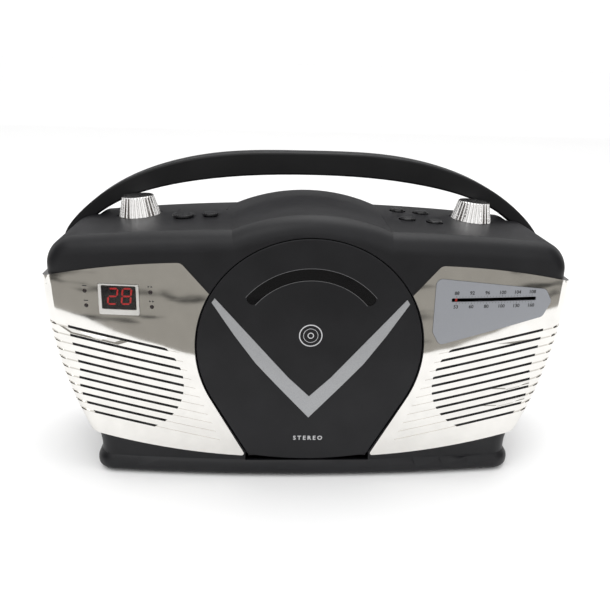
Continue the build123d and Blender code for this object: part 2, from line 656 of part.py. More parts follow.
# ---- disc door ------------------------------------------------------------------------------
WINDOW_R, WINDOW_WIDTH, WINDOW_HALF_ANGLE = 51.5, 8.0, 52.0


def window_profile(grow):
    """Curved slot over the upper half of the disc, with round ends."""
    half = WINDOW_WIDTH / 2 + grow
    start = 90 - WINDOW_HALF_ANGLE
    with BuildSketch() as slot:
        with BuildLine():
            outer = CenterArc((DISC_X, DISC_Z), WINDOW_R + half, start, 2 * WINDOW_HALF_ANGLE)
            inner = CenterArc((DISC_X, DISC_Z), WINDOW_R - half, start, 2 * WINDOW_HALF_ANGLE)
            Line(outer @ 0, inner @ 0)
            Line(outer @ 1, inner @ 1)
        make_face()
        fillet(slot.vertices(), half - 0.05)
    return slot.sketch


with BuildPart() as door_skin:
    with BuildSketch(upright(-40)):
        add(door_profile(0))
    extrude(amount=40)
    trim_to_front(0)
    outer_rim = door_skin.faces().sort_by(Axis.Y)[0].edges()
    fillet(outer_rim, 0.8)
    with Locations((0, FRONT_Y + FRONT_BOW, 100)):
        Cylinder(radius=FRONT_BOW - DOOR_T, height=400, mode=Mode.SUBTRACT)

with BuildPart() as door_rim:
    with BuildSketch(upright(-55.0)):
        add(door_profile(-2.2))
        add(door_profile(-4.0), mode=Mode.SUBTRACT)
    extrude(amount=20)
    trim_to_front(1.0)
    block((-80, 80), (-70, -40), (0, 24.5), mode=Mode.SUBTRACT)

with BuildPart() as cd_door:
    add(door_skin.part)
    add(door_rim.part)
    for side in (-1, 1):
        block((side * 38.4 - 2.4, side * 38.4 + 2.4), (-58.5, -54.6), (15.4, 20.6))
        peg(sideways(side * 42.4, HINGE_Y, HINGE_Z), HINGE_PIN_R, 7.6, both=True)
    with BuildSketch(upright(-40)):
        add(window_profile(0))
    extrude(amount=40, mode=Mode.SUBTRACT)
save(cd_door.part, "cd_door")

with BuildPart() as door_catch:
    block((-5, 5), (-56.8, -51.5), (163.4, 165.0))
    block((-5, 5), (-57.3, -56.0), (160.4, 165.0))
    trim_to_front(DOOR_T)
save(door_catch.part, "door_catch")

with BuildPart() as cd_door_window:
    with BuildSketch(upright(-40)):
        add(window_profile(-0.04))
    extrude(amount=40)
    trim_to_front(0.3)
    with Locations((0, FRONT_Y + FRONT_BOW, 100)):
        Cylinder(radius=FRONT_BOW - DOOR_T, height=400, mode=Mode.SUBTRACT)
save(cd_door_window.part, "cd_door_window")

with BuildPart() as cd_door_chevron:
    with BuildSketch(upright(-40)):
        with BuildLine():
            right_out = Polyline((64.4, 126.8), (49.9, 104.5), (35.9, 85.0), (22.5, 70.0), (0, 45.5))
            left_out = Polyline((0, 45.5), (-22.5, 70.0), (-35.9, 85.0), (-49.9, 104.5), (-64.4, 126.8))
            left_in = Polyline((-64.4, 126.8), (-62.4, 129.8), (-28.8, 91.7), (-14.4, 75.2), (0, 61.3))
            right_in = Polyline((0, 61.3), (14.4, 75.2), (28.8, 91.7), (62.4, 129.8), (64.4, 126.8))
        make_face()
    extrude(amount=40)
    trim_to_front(-0.45)
    add(door_skin.part, mode=Mode.SUBTRACT)
    with Locations((0, FRONT_Y + FRONT_BOW, 100)):
        Cylinder(radius=FRONT_BOW - 1.0, height=400, mode=Mode.SUBTRACT)
save(cd_door_chevron.part, "cd_door_chevron")

with BuildPart() as door_latch:
    block((-7, 7), (-52.6, BAY_FLOOR_Y), (166.2, 168.2))
    block((-7, 7), (-49.0, BAY_FLOOR_Y), (160, 168.2))
save(door_latch.part, "door_latch")

# ---- knobs, slide switches and push buttons ------------------------------------------------
for name, side in {"volume": -1, "tuning": 1}.items():
    with BuildPart() as knob:
        with BuildSketch(knob_plane(side, 0.3)):
            Circle(KNOB_BASE_R)
        with BuildSketch(knob_plane(side, 0.3 + KNOB_H)):
            Circle(KNOB_TOP_R)
        loft()
        fillet(knob.faces().sort_by(Axis.Z)[-1].edges(), 1.4)
        slope = degrees(atan2(KNOB_BASE_R - KNOB_TOP_R, KNOB_H))
        for i in range(KNOB_FLUTES):
            flute = Rot(0, 0, 360 / KNOB_FLUTES * i) * Pos(KNOB_BASE_R + 0.25, 0, 0) * Rot(0, -slope, 0)
            bar = Cylinder(0.8, 40, mode=Mode.PRIVATE)
            add(knob_plane(side) * flute * bar, mode=Mode.SUBTRACT)
        peg(knob_plane(side, -1), SHAFT_R, 9.5, mode=Mode.SUBTRACT)
    save(knob.part, f"{name}_knob")

    with BuildPart() as shaft:
        peg(knob_plane(side, -12), SHAFT_R, 20.5)
        if name == "tuning":
            peg(knob_plane(side, -25), 2.0, 13)
    save(shaft.part, f"{name}_shaft")

with BuildPart() as volume_pot:
    peg(knob_plane(-1, -14.5), 4.6, 6)
    peg(knob_plane(-1, -20), 8.5, 9)
    peg(knob_plane(-1, -12.6), SHAFT_R + SHAFT_PLAY, 20, mode=Mode.SUBTRACT)
save(volume_pot.part, "volume_pot")

with BuildPart() as tuning_capacitor:
    body = Box(22, 20, 14, mode=Mode.PRIVATE)
    add(knob_plane(1, -21) * body)
    peg(knob_plane(1, -14), 4.6, 5)
    peg(knob_plane(1, -12.4), SHAFT_R + SHAFT_PLAY, 30, mode=Mode.SUBTRACT)
    peg(knob_plane(1, -25.5), 2.0 + SHAFT_PLAY, 30, mode=Mode.SUBTRACT)
save(tuning_capacitor.part, "tuning_capacitor")

SWITCH_Z = 158.0
CAP_HEIGHT = 2.3         # flat top of a slide cap above the crown
for name, (x, y, radius, travel) in SLIDERS.items():
    top = crown_z(x)
    with BuildPart() as slider:
        with Locations((x, y, top + 0.7)):
            Sphere(radius)
        block((x - 20, x + 20), (y - 20, y + 20), (top - 30, top + 0.7), mode=Mode.SUBTRACT)
        block((x - 20, x + 20), (y - 20, y + 20), (top + CAP_HEIGHT, top + 30), mode=Mode.SUBTRACT)
        fillet(slider.faces().sort_by(Axis.Z)[-1].edges(), 0.8)
        for i in range(-3, 4):
            rib = x + 1.5 * i
            groove_z = (top + CAP_HEIGHT - 0.4, top + 4)
            block((rib - 0.25, rib + 0.25), (y - 20, y + 20), groove_z, mode=Mode.SUBTRACT)
        block((x - 1.8, x + 1.8), (y - 1.8, y + 1.8), (SWITCH_Z - 1.0, top + 1))
    save(slider.part, f"{name}_slider")

TACT_TOP = 161.0
for i, (x, y) in enumerate(BUTTON_PLACES, start=1):
    top = crown_z(x)
    with BuildPart() as button:
        peg(upward(x, y, top - BUTTON_SINK), BUTTON_R, 2.1)
        fillet(button.faces().sort_by(Axis.Z)[-1].edges(), 1.5)
        peg(upward(x, y, TACT_TOP + 0.05), 2.7, top + 1 - TACT_TOP)
        peg(upward(x, y, TACT_TOP + BUTTON_TRAVEL + 0.3), 4.2, 1.4)
    save(button.part, f"disc_button_{i}")

BOARD_Z = 156.0
with BuildPart() as button_board:
    block((59, 95), (-17, 28), (BOARD_Z - 1.6, BOARD_Z))
    for x, y in BUTTON_PLACES:
        block((x - 3, x + 3), (y - 3, y + 3), (BOARD_Z, TACT_TOP - BUTTON_TRAVEL - 0.3))
save(button_board.part, "button_board")

with BuildPart() as slide_board:
    block((-98, -60), (-12, 4), (SWITCH_Z - 8.6, SWITCH_Z - 7))
    for x, y, radius, travel in SLIDERS.values():
        block((x - 9, x + 9), (y - 4.5, y + 4.5), (SWITCH_Z - 7, SWITCH_Z + 1.5))
        slot_half = travel + 2.2
        slot_x = (x - slot_half, x + slot_half)
        block(slot_x, (y - 2.2, y + 2.2), (SWITCH_Z - 2, SWITCH_Z + 2), mode=Mode.SUBTRACT)
save(slide_board.part, "slide_switch_board")

# ---- electronics and supply ---------------------------------------------------------------
with BuildPart() as main_board:
    block((-74, 74), (POST_Y - 1.6, POST_Y), (76, 152))
    for x in (-50, -34, -18):
        peg(facing(x, POST_Y - 1.6, 88), 5.0, 12)
    for x in (20, 45):
        block((x - 9, x + 9), (POST_Y - 5, POST_Y - 1), (104, 112))
    block((30, 62), (POST_Y - 10, POST_Y - 1), (124, 142))
save(main_board.part, "main_board")

with BuildPart() as transformer:
    block((-64, -28), (-14, 4), (18, 52))
    block((-66, -26), (-18, 8), (24, 46))
save(transformer.part, "transformer")

with BuildPart() as power_inlet:
    with BuildSketch(upright(36)):
        with Locations((INLET_X, INLET_Z)):
            Rectangle(17.6, 11.6)
    extrude(amount=-18)
    with BuildSketch(upright(55)):
        with Locations((INLET_X, INLET_Z)):
            SlotOverall(14.0, 7.6)
    extrude(amount=14, mode=Mode.SUBTRACT)
    for dx in (-3.1, 3.1):
        peg(facing(INLET_X + dx, 49, INLET_Z), 1.15, 9)
save(power_inlet.part, "power_inlet")

with BuildPart() as battery_box:
    low, high = BATTERY_Z
    block((-BATTERY_X + 0.4, BATTERY_X - 0.4), (20, 53.0), (low + 0.4, high - 0.4))
    block((-BATTERY_X + 2.4, BATTERY_X - 2.4), (22, 60), (low + 2.4, high - 2.4), mode=Mode.SUBTRACT)
    block((-BATTERY_X, BATTERY_X), (50.6, 60), (BATTERY_Z[0], BATTERY_Z[1]), mode=Mode.SUBTRACT)
save(battery_box.part, "battery_box")

with BuildPart() as battery_contacts:
    for z in (29, 57):
        for side in (-1, 1):
            x = side * (BATTERY_X - 2.4)
            block(sorted((x, x - side * 0.5)), (28, 44), (z - 8, z + 8))
save(battery_contacts.part, "battery_contacts")

with BuildPart() as battery_door:
    block((-BATTERY_X + 0.5, BATTERY_X - 0.5), (51.2, 54), (BATTERY_Z[0] + 0.5, BATTERY_Z[1] - 0.5))
    fillet(battery_door.edges().filter_by(Axis.X).group_by(Axis.Z)[0], 1.38)
    peg(sideways(0, BATTERY_HINGE_Y, BATTERY_HINGE_Z), 0.8, 2 * BATTERY_X + 2.4, both=True)
    for x in (-40, 40):
        block((x - 6, x + 6), (53, 54.8), (BATTERY_Z[1] - 9, BATTERY_Z[1] - 4))
    for i in range(5):
        z = BATTERY_Z[1] - 12 - 2.4 * i
        block((-9, 9), (53.3, 55), (z - 0.5, z + 0.5), mode=Mode.SUBTRACT)
save(battery_door.part, "battery_door")

# ---- handle ---------------------------------------------------------------------------------
STRAP_PLANE = Plane((0, PIVOT_Y, PIVOT_Z), x_dir=(1, 0, 0), z_dir=(0, -1, 0))
with BuildPart() as handle:
    with BuildSketch(STRAP_PLANE):
        with BuildLine():
            outer = Spline(*STRAP_OUTER, tangents=[(1, 0), (0, -1)])
            inner = Spline(*STRAP_INNER, tangents=[(1, 0), (0, -1)])
            Line(outer @ 1, inner @ 1)
            Line(outer @ 0, inner @ 0)
        make_face()
        mirror(about=Plane.YZ)
    extrude(amount=STRAP_DEPTH / 2, both=True)
    long_edges = handle.edges().filter_by(lambda e: e.length > 60)
    fillet(long_edges, 1.4)
    for side in (-1, 1):
        peg(sideways(side * 176.3, PIVOT_Y, PIVOT_Z), STRAP_DEPTH / 2, 6.0, both=True)
        peg(sideways(side * 176.3, PIVOT_Y, PIVOT_Z), PIVOT_R + 0.08, 20, both=True, mode=Mode.SUBTRACT)
save(handle.part, "handle")

for name, side in MIRRORS.items():
    with BuildPart() as pivot:
        peg(sideways(side * 169.6, PIVOT_Y, PIVOT_Z), PIVOT_R, 20.6, both=True)
        peg(sideways(side * 180.3, PIVOT_Y, PIVOT_Z), 5.5, 1.4, both=True)
    save(pivot.part, f"{name}_handle_pivot")

# ---- telescopic aerial ----------------------------------------------------------------------
TUBE_R = [3.5, 2.9, 2.3, 1.7]
TUBE_LENGTH = 96.0
TUBE_PLAY = 0.08
with BuildPart() as aerial_base:
    peg(facing(AERIAL_X, AERIAL_Y + 4.4, AERIAL_Z), 6.0, 8.2)
    peg(facing(AERIAL_X, AERIAL_Y - 2, AERIAL_Z), 2.0, 7.6)
    peg(facing(AERIAL_X, 50.6, AERIAL_Z), 3.4, 1.4)
    peg(sideways(AERIAL_X - 9, AERIAL_Y, AERIAL_Z), TUBE_R[0], 6, mode=Mode.SUBTRACT)
save(aerial_base.part, "aerial_base")

ROOT_X = AERIAL_X - 3
for i, radius in enumerate(TUBE_R):
    with BuildPart() as tube:
        mouth_x = ROOT_X - TUBE_LENGTH - 1.2 * i
        length = TUBE_LENGTH - 0.8 * i
        peg(sideways(mouth_x, AERIAL_Y, AERIAL_Z), radius, length)
        if i + 1 < len(TUBE_R):
            bore = TUBE_R[i + 1] + TUBE_PLAY
            peg(sideways(mouth_x, AERIAL_Y, AERIAL_Z), bore, length - 1.6, mode=Mode.SUBTRACT)
        else:
            peg(sideways(mouth_x - 4, AERIAL_Y, AERIAL_Z), 3.2, 4)
    save(tube.part, f"aerial_tube_{i + 1}")

# ---- feet and screws -------------------------------------------------------------------------
with BuildPart() as feet:
    for x, y in FEET:
        peg(upward(x, y, 0), 7.0, UNDERSIDE_Z)
        peg(upward(x, y, 0.5), 2.45, 4.5)
save(feet.part, "feet")

with BuildPart() as case_screws:
    for x, z in BOSSES:
        peg(facing(x, PARTING_Y + 6.2, z), 3.0, 2.0)
        peg(facing(x, PARTING_Y + 5, z), SCREW_R, 18)
save(case_screws.part, "case_screws")
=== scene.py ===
"""Portable disc radio: materials, printed marks, lamps, display and studio around the CAD frame.

Metres, in the frame's own axes: +X is the listener's right, the front faces -Y, +Z is up.
"""
import math

import bmesh
import bpy
from mathutils import Matrix, Vector


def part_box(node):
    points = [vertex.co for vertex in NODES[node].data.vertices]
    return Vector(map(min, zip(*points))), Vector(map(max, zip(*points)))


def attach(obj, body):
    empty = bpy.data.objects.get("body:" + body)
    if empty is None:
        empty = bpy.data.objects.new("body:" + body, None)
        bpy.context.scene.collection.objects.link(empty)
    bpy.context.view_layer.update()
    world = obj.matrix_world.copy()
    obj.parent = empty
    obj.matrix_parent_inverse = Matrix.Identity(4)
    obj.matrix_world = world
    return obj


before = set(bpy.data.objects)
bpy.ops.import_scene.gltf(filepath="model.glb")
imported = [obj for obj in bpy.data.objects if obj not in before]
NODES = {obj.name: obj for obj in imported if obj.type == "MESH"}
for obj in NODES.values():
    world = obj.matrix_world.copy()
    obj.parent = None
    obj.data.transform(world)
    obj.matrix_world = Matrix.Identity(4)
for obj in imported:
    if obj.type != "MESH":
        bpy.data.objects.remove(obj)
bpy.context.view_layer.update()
MM = 0.001

FRONT_Y = -60.0 * MM      # front face on the centre line
FRONT_BOW = 1200.0 * MM   # plan radius of the bowed front
TRIM_PROUD = 1.0 * MM
DIAL_PROUD = 1.35 * MM
PRINT_THICK = 0.04 * MM


def front_y(x, proud=0.0):
    """Y of the bowed front at x, `proud` in front of the case's skin."""
    reach = FRONT_BOW + proud
    return FRONT_Y + FRONT_BOW - math.sqrt(reach * reach - x * x)


# ---- node-tree helpers --------------------------------------------------------------
class Tree:
    """A material's node tree with one Principled shader."""

    def __init__(self, name):
        self.material = bpy.data.materials.new(name)
        self.material.use_nodes = True
        self.nodes = self.material.node_tree.nodes
        self.links = self.material.node_tree.links
        self.shader = self.nodes["Principled BSDF"]
        self.place = self.nodes.new("ShaderNodeTexCoord").outputs["Object"]

    def set(self, **values):
        """Shader inputs by name, with underscores for spaces."""
        for name, value in values.items():
            self.shader.inputs[name.replace("_", " ")].default_value = value

    def noise(self, scale, detail=4.0, roughness=0.5, stretch=(1, 1, 1)):
        """Noise at `scale` features a metre."""
        mapping = self.nodes.new("ShaderNodeMapping")
        mapping.inputs["Scale"].default_value = stretch
        self.links.new(self.place, mapping.inputs["Vector"])
        node = self.nodes.new("ShaderNodeTexNoise")
        node.inputs["Scale"].default_value = scale
        node.inputs["Detail"].default_value = detail
        node.inputs["Roughness"].default_value = roughness
        self.links.new(mapping.outputs["Vector"], node.inputs["Vector"])
        return node.outputs["Fac"]

    def cells(self, scale, output="Distance", scatter=1.0):
        """Voronoi cells at `scale` a metre."""
        node = self.nodes.new("ShaderNodeTexVoronoi")
        node.inputs["Scale"].default_value = scale
        node.inputs["Randomness"].default_value = scatter
        self.links.new(self.place, node.inputs["Vector"])
        return node.outputs[output]

    def ramp(self, value, low, high, start=0.0, end=1.0):
        """Value turned into a colour between low and high."""
        node = self.nodes.new("ShaderNodeValToRGB")
        node.color_ramp.elements[0].position = start
        node.color_ramp.elements[0].color = (*low, 1)
        node.color_ramp.elements[1].position = end
        node.color_ramp.elements[1].color = (*high, 1)
        self.links.new(value, node.inputs["Fac"])
        return node.outputs["Color"]

    def range(self, value, low, high):
        """Value of 0 to 1 mapped to low to high."""
        node = self.nodes.new("ShaderNodeMapRange")
        node.inputs["To Min"].default_value = low
        node.inputs["To Max"].default_value = high
        self.links.new(value, node.inputs["Value"])
        return node.outputs["Result"]

    def to(self, output, name):
        """Link an output to a shader input."""
        self.links.new(output, self.shader.inputs[name])

    def bump(self, height, strength, distance):
        """Bump the shader's normal by a height; chains onto an earlier bump."""
        node = self.nodes.new("ShaderNodeBump")
        node.inputs["Strength"].default_value = strength
        node.inputs["Distance"].default_value = distance
        self.links.new(height, node.inputs["Height"])
        earlier = self.shader.inputs["Normal"].links
        if earlier:
            self.links.new(earlier[0].from_socket, node.inputs["Normal"])
        self.to(node.outputs["Normal"], "Normal")


def moulded(name, colour, roughness, grain=2600, depth=0.02, spread=0.05, specular=0.5):
    """Moulded plastic with a fine spark-eroded grain and slightly uneven gloss."""
    tree = Tree(name)
    lighter = tuple(c * 1.18 + 0.002 for c in colour)
    tree.to(tree.ramp(tree.noise(38, 5), colour, lighter, 0.35, 0.7), "Base Color")
    tree.to(tree.range(tree.noise(60, 6, 0.6), roughness - spread, roughness + spread), "Roughness")
    tree.set(Specular_IOR_Level=specular)
    tree.bump(tree.noise(grain, 2), 0.35, depth * MM)
    return tree.material


def plated(name, colour, roughness, wave=0.25, wave_scale=26):
    """Bright plating over moulded plastic, with the faint waves of the moulding."""
    tree = Tree(name)
    darker = tuple(c * 0.93 for c in colour)
    tree.set(Metallic=1.0)
    tree.to(tree.ramp(tree.noise(90, 3), darker, colour, 0.3, 0.7), "Base Color")
    tree.to(tree.range(tree.noise(150, 5, 0.6), roughness * 0.7, roughness * 1.5), "Roughness")
    tree.bump(tree.noise(wave_scale, 1, 0.4, (1, 1, 1.7)), 0.5, wave * MM)
    return tree.material


def metallic_paint(name, colour, roughness, metal=0.6, flake=0.1):
    """Silver paint with fine bright flakes."""
    tree = Tree(name)
    flakes = tree.cells(2600, "Color")
    dull = tuple(c * (1 - flake) for c in colour)
    bright = tuple(min(c * (1 + flake), 1) for c in colour)
    tree.to(tree.ramp(flakes, dull, bright), "Base Color")
    tree.set(Metallic=metal, Coat_Weight=0.3, Coat_Roughness=0.12)
    tree.to(tree.range(tree.noise(700, 3), roughness - 0.08, roughness + 0.1), "Roughness")
    tree.bump(tree.noise(1800, 2), 0.25, 0.02 * MM)
    return tree.material


def steel(name, colour, roughness, stretch=(1, 1, 1)):
    """Bright metal with drawn or turned marks."""
    tree = Tree(name)
    tree.set(Metallic=1.0)
    dull = tuple(c * 0.82 for c in colour)
    tree.to(tree.ramp(tree.noise(220, 6, 0.6, stretch), dull, colour), "Base Color")
    tree.to(tree.range(tree.noise(400, 4, 0.5, stretch), roughness * 0.7, roughness * 1.4), "Roughness")
    tree.bump(tree.noise(900, 3, 0.5, stretch), 0.2, 0.02 * MM)
    return tree.material


def perforated(name):
    """Black steel sheet with rows of small round holes."""
    tree = Tree(name)
    holes = tree.cells(560, scatter=0.0)
    tree.to(tree.ramp(holes, (0.001, 0.001, 0.001), (0.05, 0.05, 0.051), 0.36, 0.46), "Base Color")
    tree.set(Roughness=0.5, Specular_IOR_Level=0.2)
    tree.bump(holes, 0.6, 0.5 * MM)
    return tree.material


def smoked(name, colour, alpha, gloss=1.0):
    """Smoked clear plastic with a polished face."""
    tree = Tree(name)
    tree.to(tree.ramp(tree.noise(45, 2), colour, tuple(c * 1.3 for c in colour)), "Base Color")
    tree.to(tree.range(tree.noise(120, 4), 0.02, 0.06), "Roughness")
    tree.set(Alpha=alpha, IOR=1.49, Specular_IOR_Level=0.5 * gloss)
    tree.set(Coat_Weight=gloss, Coat_Roughness=0.03)
    return tree.material


def glowing(name, colour, strength):
    """Lit display segments, with a slightly uneven glow."""
    tree = Tree(name)
    tree.to(tree.ramp(tree.noise(700, 2), tuple(c * 0.8 for c in colour), colour), "Emission Color")
    tree.set(Emission_Strength=strength, Base_Color=(*colour, 1), Roughness=0.4)
    return tree.material


def circuit(name):
    """Green laminate with darker tracks."""
    tree = Tree(name)
    tracks = tree.noise(160, 2, 0.3, (1, 1, 4))
    tree.to(tree.ramp(tracks, (0.01, 0.09, 0.035), (0.03, 0.2, 0.08), 0.45, 0.55), "Base Color")
    tree.set(Roughness=0.3)
    return tree.material


MATERIALS = {
    "case": moulded("case_matt", (0.0062, 0.0062, 0.0074), 0.42, specular=0.26),
    "handle": moulded("handle_satin", (0.005, 0.005, 0.0056), 0.38, specular=0.22),
    "cap": moulded("cap_satin", (0.006, 0.006, 0.0068), 0.28, 1800, 0.008, specular=0.35),
    "inner": moulded("inner_matt", (0.008, 0.008, 0.009), 0.55, specular=0.25),
    "chrome": plated("plated_trim", (0.80, 0.785, 0.755), 0.045),
    "bezel": plated("plated_bezel", (0.88, 0.87, 0.85), 0.32),
    "knob": plated("plated_knob", (0.84, 0.83, 0.82), 0.16, 0.3, 620),
    "silver": metallic_paint("silver_paint", (0.33, 0.335, 0.345), 0.42, 0.45),
    "dial": metallic_paint("dial_paint", (0.235, 0.243, 0.262), 0.4, 0.1, 0.03),
    "mesh": perforated("perforated_steel"),
    "window": smoked("smoked_window", (0.003, 0.003, 0.0035), 0.94, 0.25),
    "display_window": smoked("display_window", (0.02, 0.018, 0.018), 0.45),
    "lens": smoked("optical_lens", (0.1, 0.12, 0.25), 0.7),
    "steel": steel("bright_steel", (0.62, 0.62, 0.63), 0.25, (1, 4, 1)),
    "plate": steel("zinc_plate", (0.5, 0.5, 0.49), 0.4),
    "iron": steel("magnet_iron", (0.09, 0.09, 0.095), 0.5),
    "cone": moulded("cone_paper", (0.02, 0.02, 0.021), 0.8, 900, 0.15),
    "board": circuit("circuit_board"),
    "rubber": moulded("foot_rubber", (0.012, 0.012, 0.012), 0.85, 500, 0.1),
    "red": moulded("pointer_red", (0.5, 0.02, 0.012), 0.4),
    "lit": glowing("lit_segment", (0.72, 0.016, 0.016), 1.5),
    "unlit": moulded("unlit_segment", (0.045, 0.006, 0.006), 0.5),
    "ink": moulded("dark_print", (0.012, 0.012, 0.013), 0.6, 3000, 0.005),
    "light_ink": moulded("light_print", (0.42, 0.42, 0.43), 0.5, 3000, 0.005),
    "lamp": moulded("lamp_dome", (0.008, 0.003, 0.003), 0.15, 1500, 0.004),
    # painted highlight: light grey standing in for light caught on the door window's edges
    "painted_edge_highlight": moulded("painted_edge_highlight", (0.10, 0.10, 0.103), 0.4, 3000, 0.005),
}
AERIAL_TUBES = [f"aerial_tube_{i}" for i in (1, 2, 3, 4)]
DISC_BUTTONS = [f"disc_button_{i}" for i in (1, 2, 3, 4)]
NODE_LOOKS = {
    "case": ["front_shell", "rear_shell", "cd_door", "battery_door"],
    "handle": ["handle"],
    "cap": ["function_slider", "band_slider", *DISC_BUTTONS],
    "inner": ["display_module", "cd_bay", "battery_box", "power_inlet", "laser_sled", "disc_hub",
              "door_latch", "door_catch", "aerial_base"],
    "chrome": ["left_trim_panel", "right_trim_panel"],
    "bezel": ["display_bezel"],
    "knob": ["volume_knob", "tuning_knob"],
    "silver": ["cd_door_chevron"],
    "dial": ["dial_plate"],
    "mesh": ["left_speaker_mesh", "right_speaker_mesh"],
    "window": ["cd_door_window"],
    "display_window": ["display_lens"],
    "lens": ["laser_lens"],
    "steel": ["dial_rail", "sled_rails", "left_handle_pivot", "right_handle_pivot", "case_screws",
              "volume_shaft", "tuning_shaft", "spindle_motor", *AERIAL_TUBES],
    "plate": ["left_speaker_basket", "right_speaker_basket", "cd_chassis", "battery_contacts",
              "transformer", "tuning_capacitor", "volume_pot"],
    "iron": ["left_speaker_magnet", "right_speaker_magnet"],
    "cone": ["left_speaker_cone", "right_speaker_cone"],
    "board": ["main_board", "button_board", "slide_switch_board"],
    "rubber": ["feet"],
    "red": ["dial_pointer"],
}
# rounding of the sharp edges, in millimetres
EDGE_ROUNDING = {
    "left_trim_panel": 0.35, "right_trim_panel": 0.35, "display_bezel": 0.45, "dial_plate": 0.3,
    "front_shell": 0.35, "rear_shell": 0.3, "cd_door": 0.3, "battery_door": 0.2,
    "cd_door_chevron": 0.2, "feet": 0.3, "aerial_base": 0.4, "volume_knob": 0.12, "tuning_knob": 0.12,
}


def soften(obj, width):
    """Small rounding on the sharp edges of a carried-over part."""
    rounding = obj.modifiers.new("edge_rounding", "BEVEL")
    rounding.width = width * MM
    rounding.segments = 2
    rounding.limit_method = "ANGLE"
    rounding.angle_limit = math.radians(40)
    rounding.harden_normals = True


for look, names in NODE_LOOKS.items():
    for node_name in names:
        node = NODES[node_name]
        node.data.materials.clear()
        node.data.materials.append(MATERIALS[look])
        if node_name in EDGE_ROUNDING:
            soften(node, EDGE_ROUNDING[node_name])


# ---- small pieces made as meshes ----------------------------------------------------------
def add_piece(name, mesh, look, body):
    """Put a mesh in the scene as a piece that rides on a CAD body."""
    piece = bpy.data.objects.new(name, mesh)
    bpy.context.collection.objects.link(piece)
    mesh.materials.clear()
    mesh.materials.append(MATERIALS[look])
    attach(piece, body)
    return piece


def wrap_on_front(mesh, proud):
    """Move a flat mesh, drawn in X-Z with its thickness along -Y, onto the bowed front."""
    for vertex in mesh.vertices:
        vertex.co.y += front_y(vertex.co.x, proud)


def ribbon(points, closed=True):
    """Filled flat shape through (x, z) points in millimetres, as a thin closed mesh."""
    sheet = bmesh.new()
    back = [sheet.verts.new((x * MM, 0, z * MM)) for x, z in points]
    front = [sheet.verts.new((x * MM, -PRINT_THICK, z * MM)) for x, z in points]
    count = len(points)
    sheet.faces.new(back)
    sheet.faces.new(list(reversed(front)))
    for i in range(count):
        j = (i + 1) % count
        sheet.faces.new((back[j], back[i], front[i], front[j]))
    bmesh.ops.recalc_face_normals(sheet, faces=sheet.faces)
    mesh = bpy.data.meshes.new("print")
    sheet.to_mesh(mesh)
    sheet.free()
    return mesh


def ring(x, z, inner, outer, start=0.0, end=360.0, steps=64):
    """Flat ring or arc band about (x, z), in millimetres, as a thin closed mesh."""
    sheet = bmesh.new()
    full = abs(end - start) >= 360
    count = steps if full else steps + 1
    rows = []
    for i in range(count):
        angle = math.radians(start + (end - start) * i / steps)
        c, s = math.cos(angle), math.sin(angle)
        corners = [(inner, 0), (outer, 0), (outer, -PRINT_THICK), (inner, -PRINT_THICK)]
        rows.append([sheet.verts.new(((x + r * c) * MM, y, (z + r * s) * MM)) for r, y in corners])
    for i in range(steps if full else steps):
        a, b = rows[i], rows[(i + 1) % count]
        for k in range(4):
            sheet.faces.new((a[k], a[(k + 1) % 4], b[(k + 1) % 4], b[k]))
    if not full:
        sheet.faces.new(rows[0])
        sheet.faces.new(list(reversed(rows[-1])))
    bmesh.ops.recalc_face_normals(sheet, faces=sheet.faces)
    mesh = bpy.data.meshes.new("ring")
    sheet.to_mesh(mesh)
    sheet.free()
    return mesh


def printed_text(name, words, x, z, height, look, proud, body, spacing=1.0):
    """Generic printed words or numbers on the bowed front, centred on (x, z)."""
    curve = bpy.data.curves.new(name, "FONT")
    curve.body = words
    curve.size = height * 1.42 * MM
    curve.align_x = "CENTER"
    curve.align_y = "CENTER"
    curve.space_character = spacing
    curve.extrude = PRINT_THICK / 2
    curve.offset = 0.035 * height * MM
    curve.resolution_u = 3
    flat = bpy.data.objects.new(name + "_flat", curve)
    bpy.context.collection.objects.link(flat)
    bpy.context.view_layer.update()
    mesh = bpy.data.meshes.new_from_object(flat.evaluated_get(bpy.context.evaluated_depsgraph_get()))
    bpy.data.objects.remove(flat)
    upright = Matrix.Rotation(math.pi / 2, 4, "X")
    mesh.transform(Matrix.Translation((x * MM, -PRINT_THICK / 2, z * MM)) @ upright)
    wrap_on_front(mesh, proud)
    return add_piece(name, mesh, look, body)


def lathe(name, profile, place, axis, look, body, steps=32):
    """Round piece turned from a (radius, height) profile in millimetres, about `axis` at `place`."""
    turned = bmesh.new()
    rings = []
    for radius, height in profile:
        row = []
        for i in range(steps):
            angle = 2 * math.pi * i / steps
            x = radius * MM * math.cos(angle)
            y = radius * MM * math.sin(angle)
            row.append(turned.verts.new((x, y, height * MM)))
        rings.append(row)
    for low, high in zip(rings, rings[1:]):
        for i in range(steps):
            j = (i + 1) % steps
            turned.faces.new((low[i], low[j], high[j], high[i]))
    turned.faces.new(list(reversed(rings[0])))
    turned.faces.new(rings[-1])
    mesh = bpy.data.meshes.new(name)
    turned.to_mesh(mesh)
    turned.free()
    for face in mesh.polygons:
        face.use_smooth = True
    turn = Vector((0, 0, 1)).rotation_difference(Vector(axis)).to_matrix().to_4x4()
    mesh.transform(Matrix.Translation([c * MM for c in place]) @ turn)
    return add_piece(name, mesh, look, body)


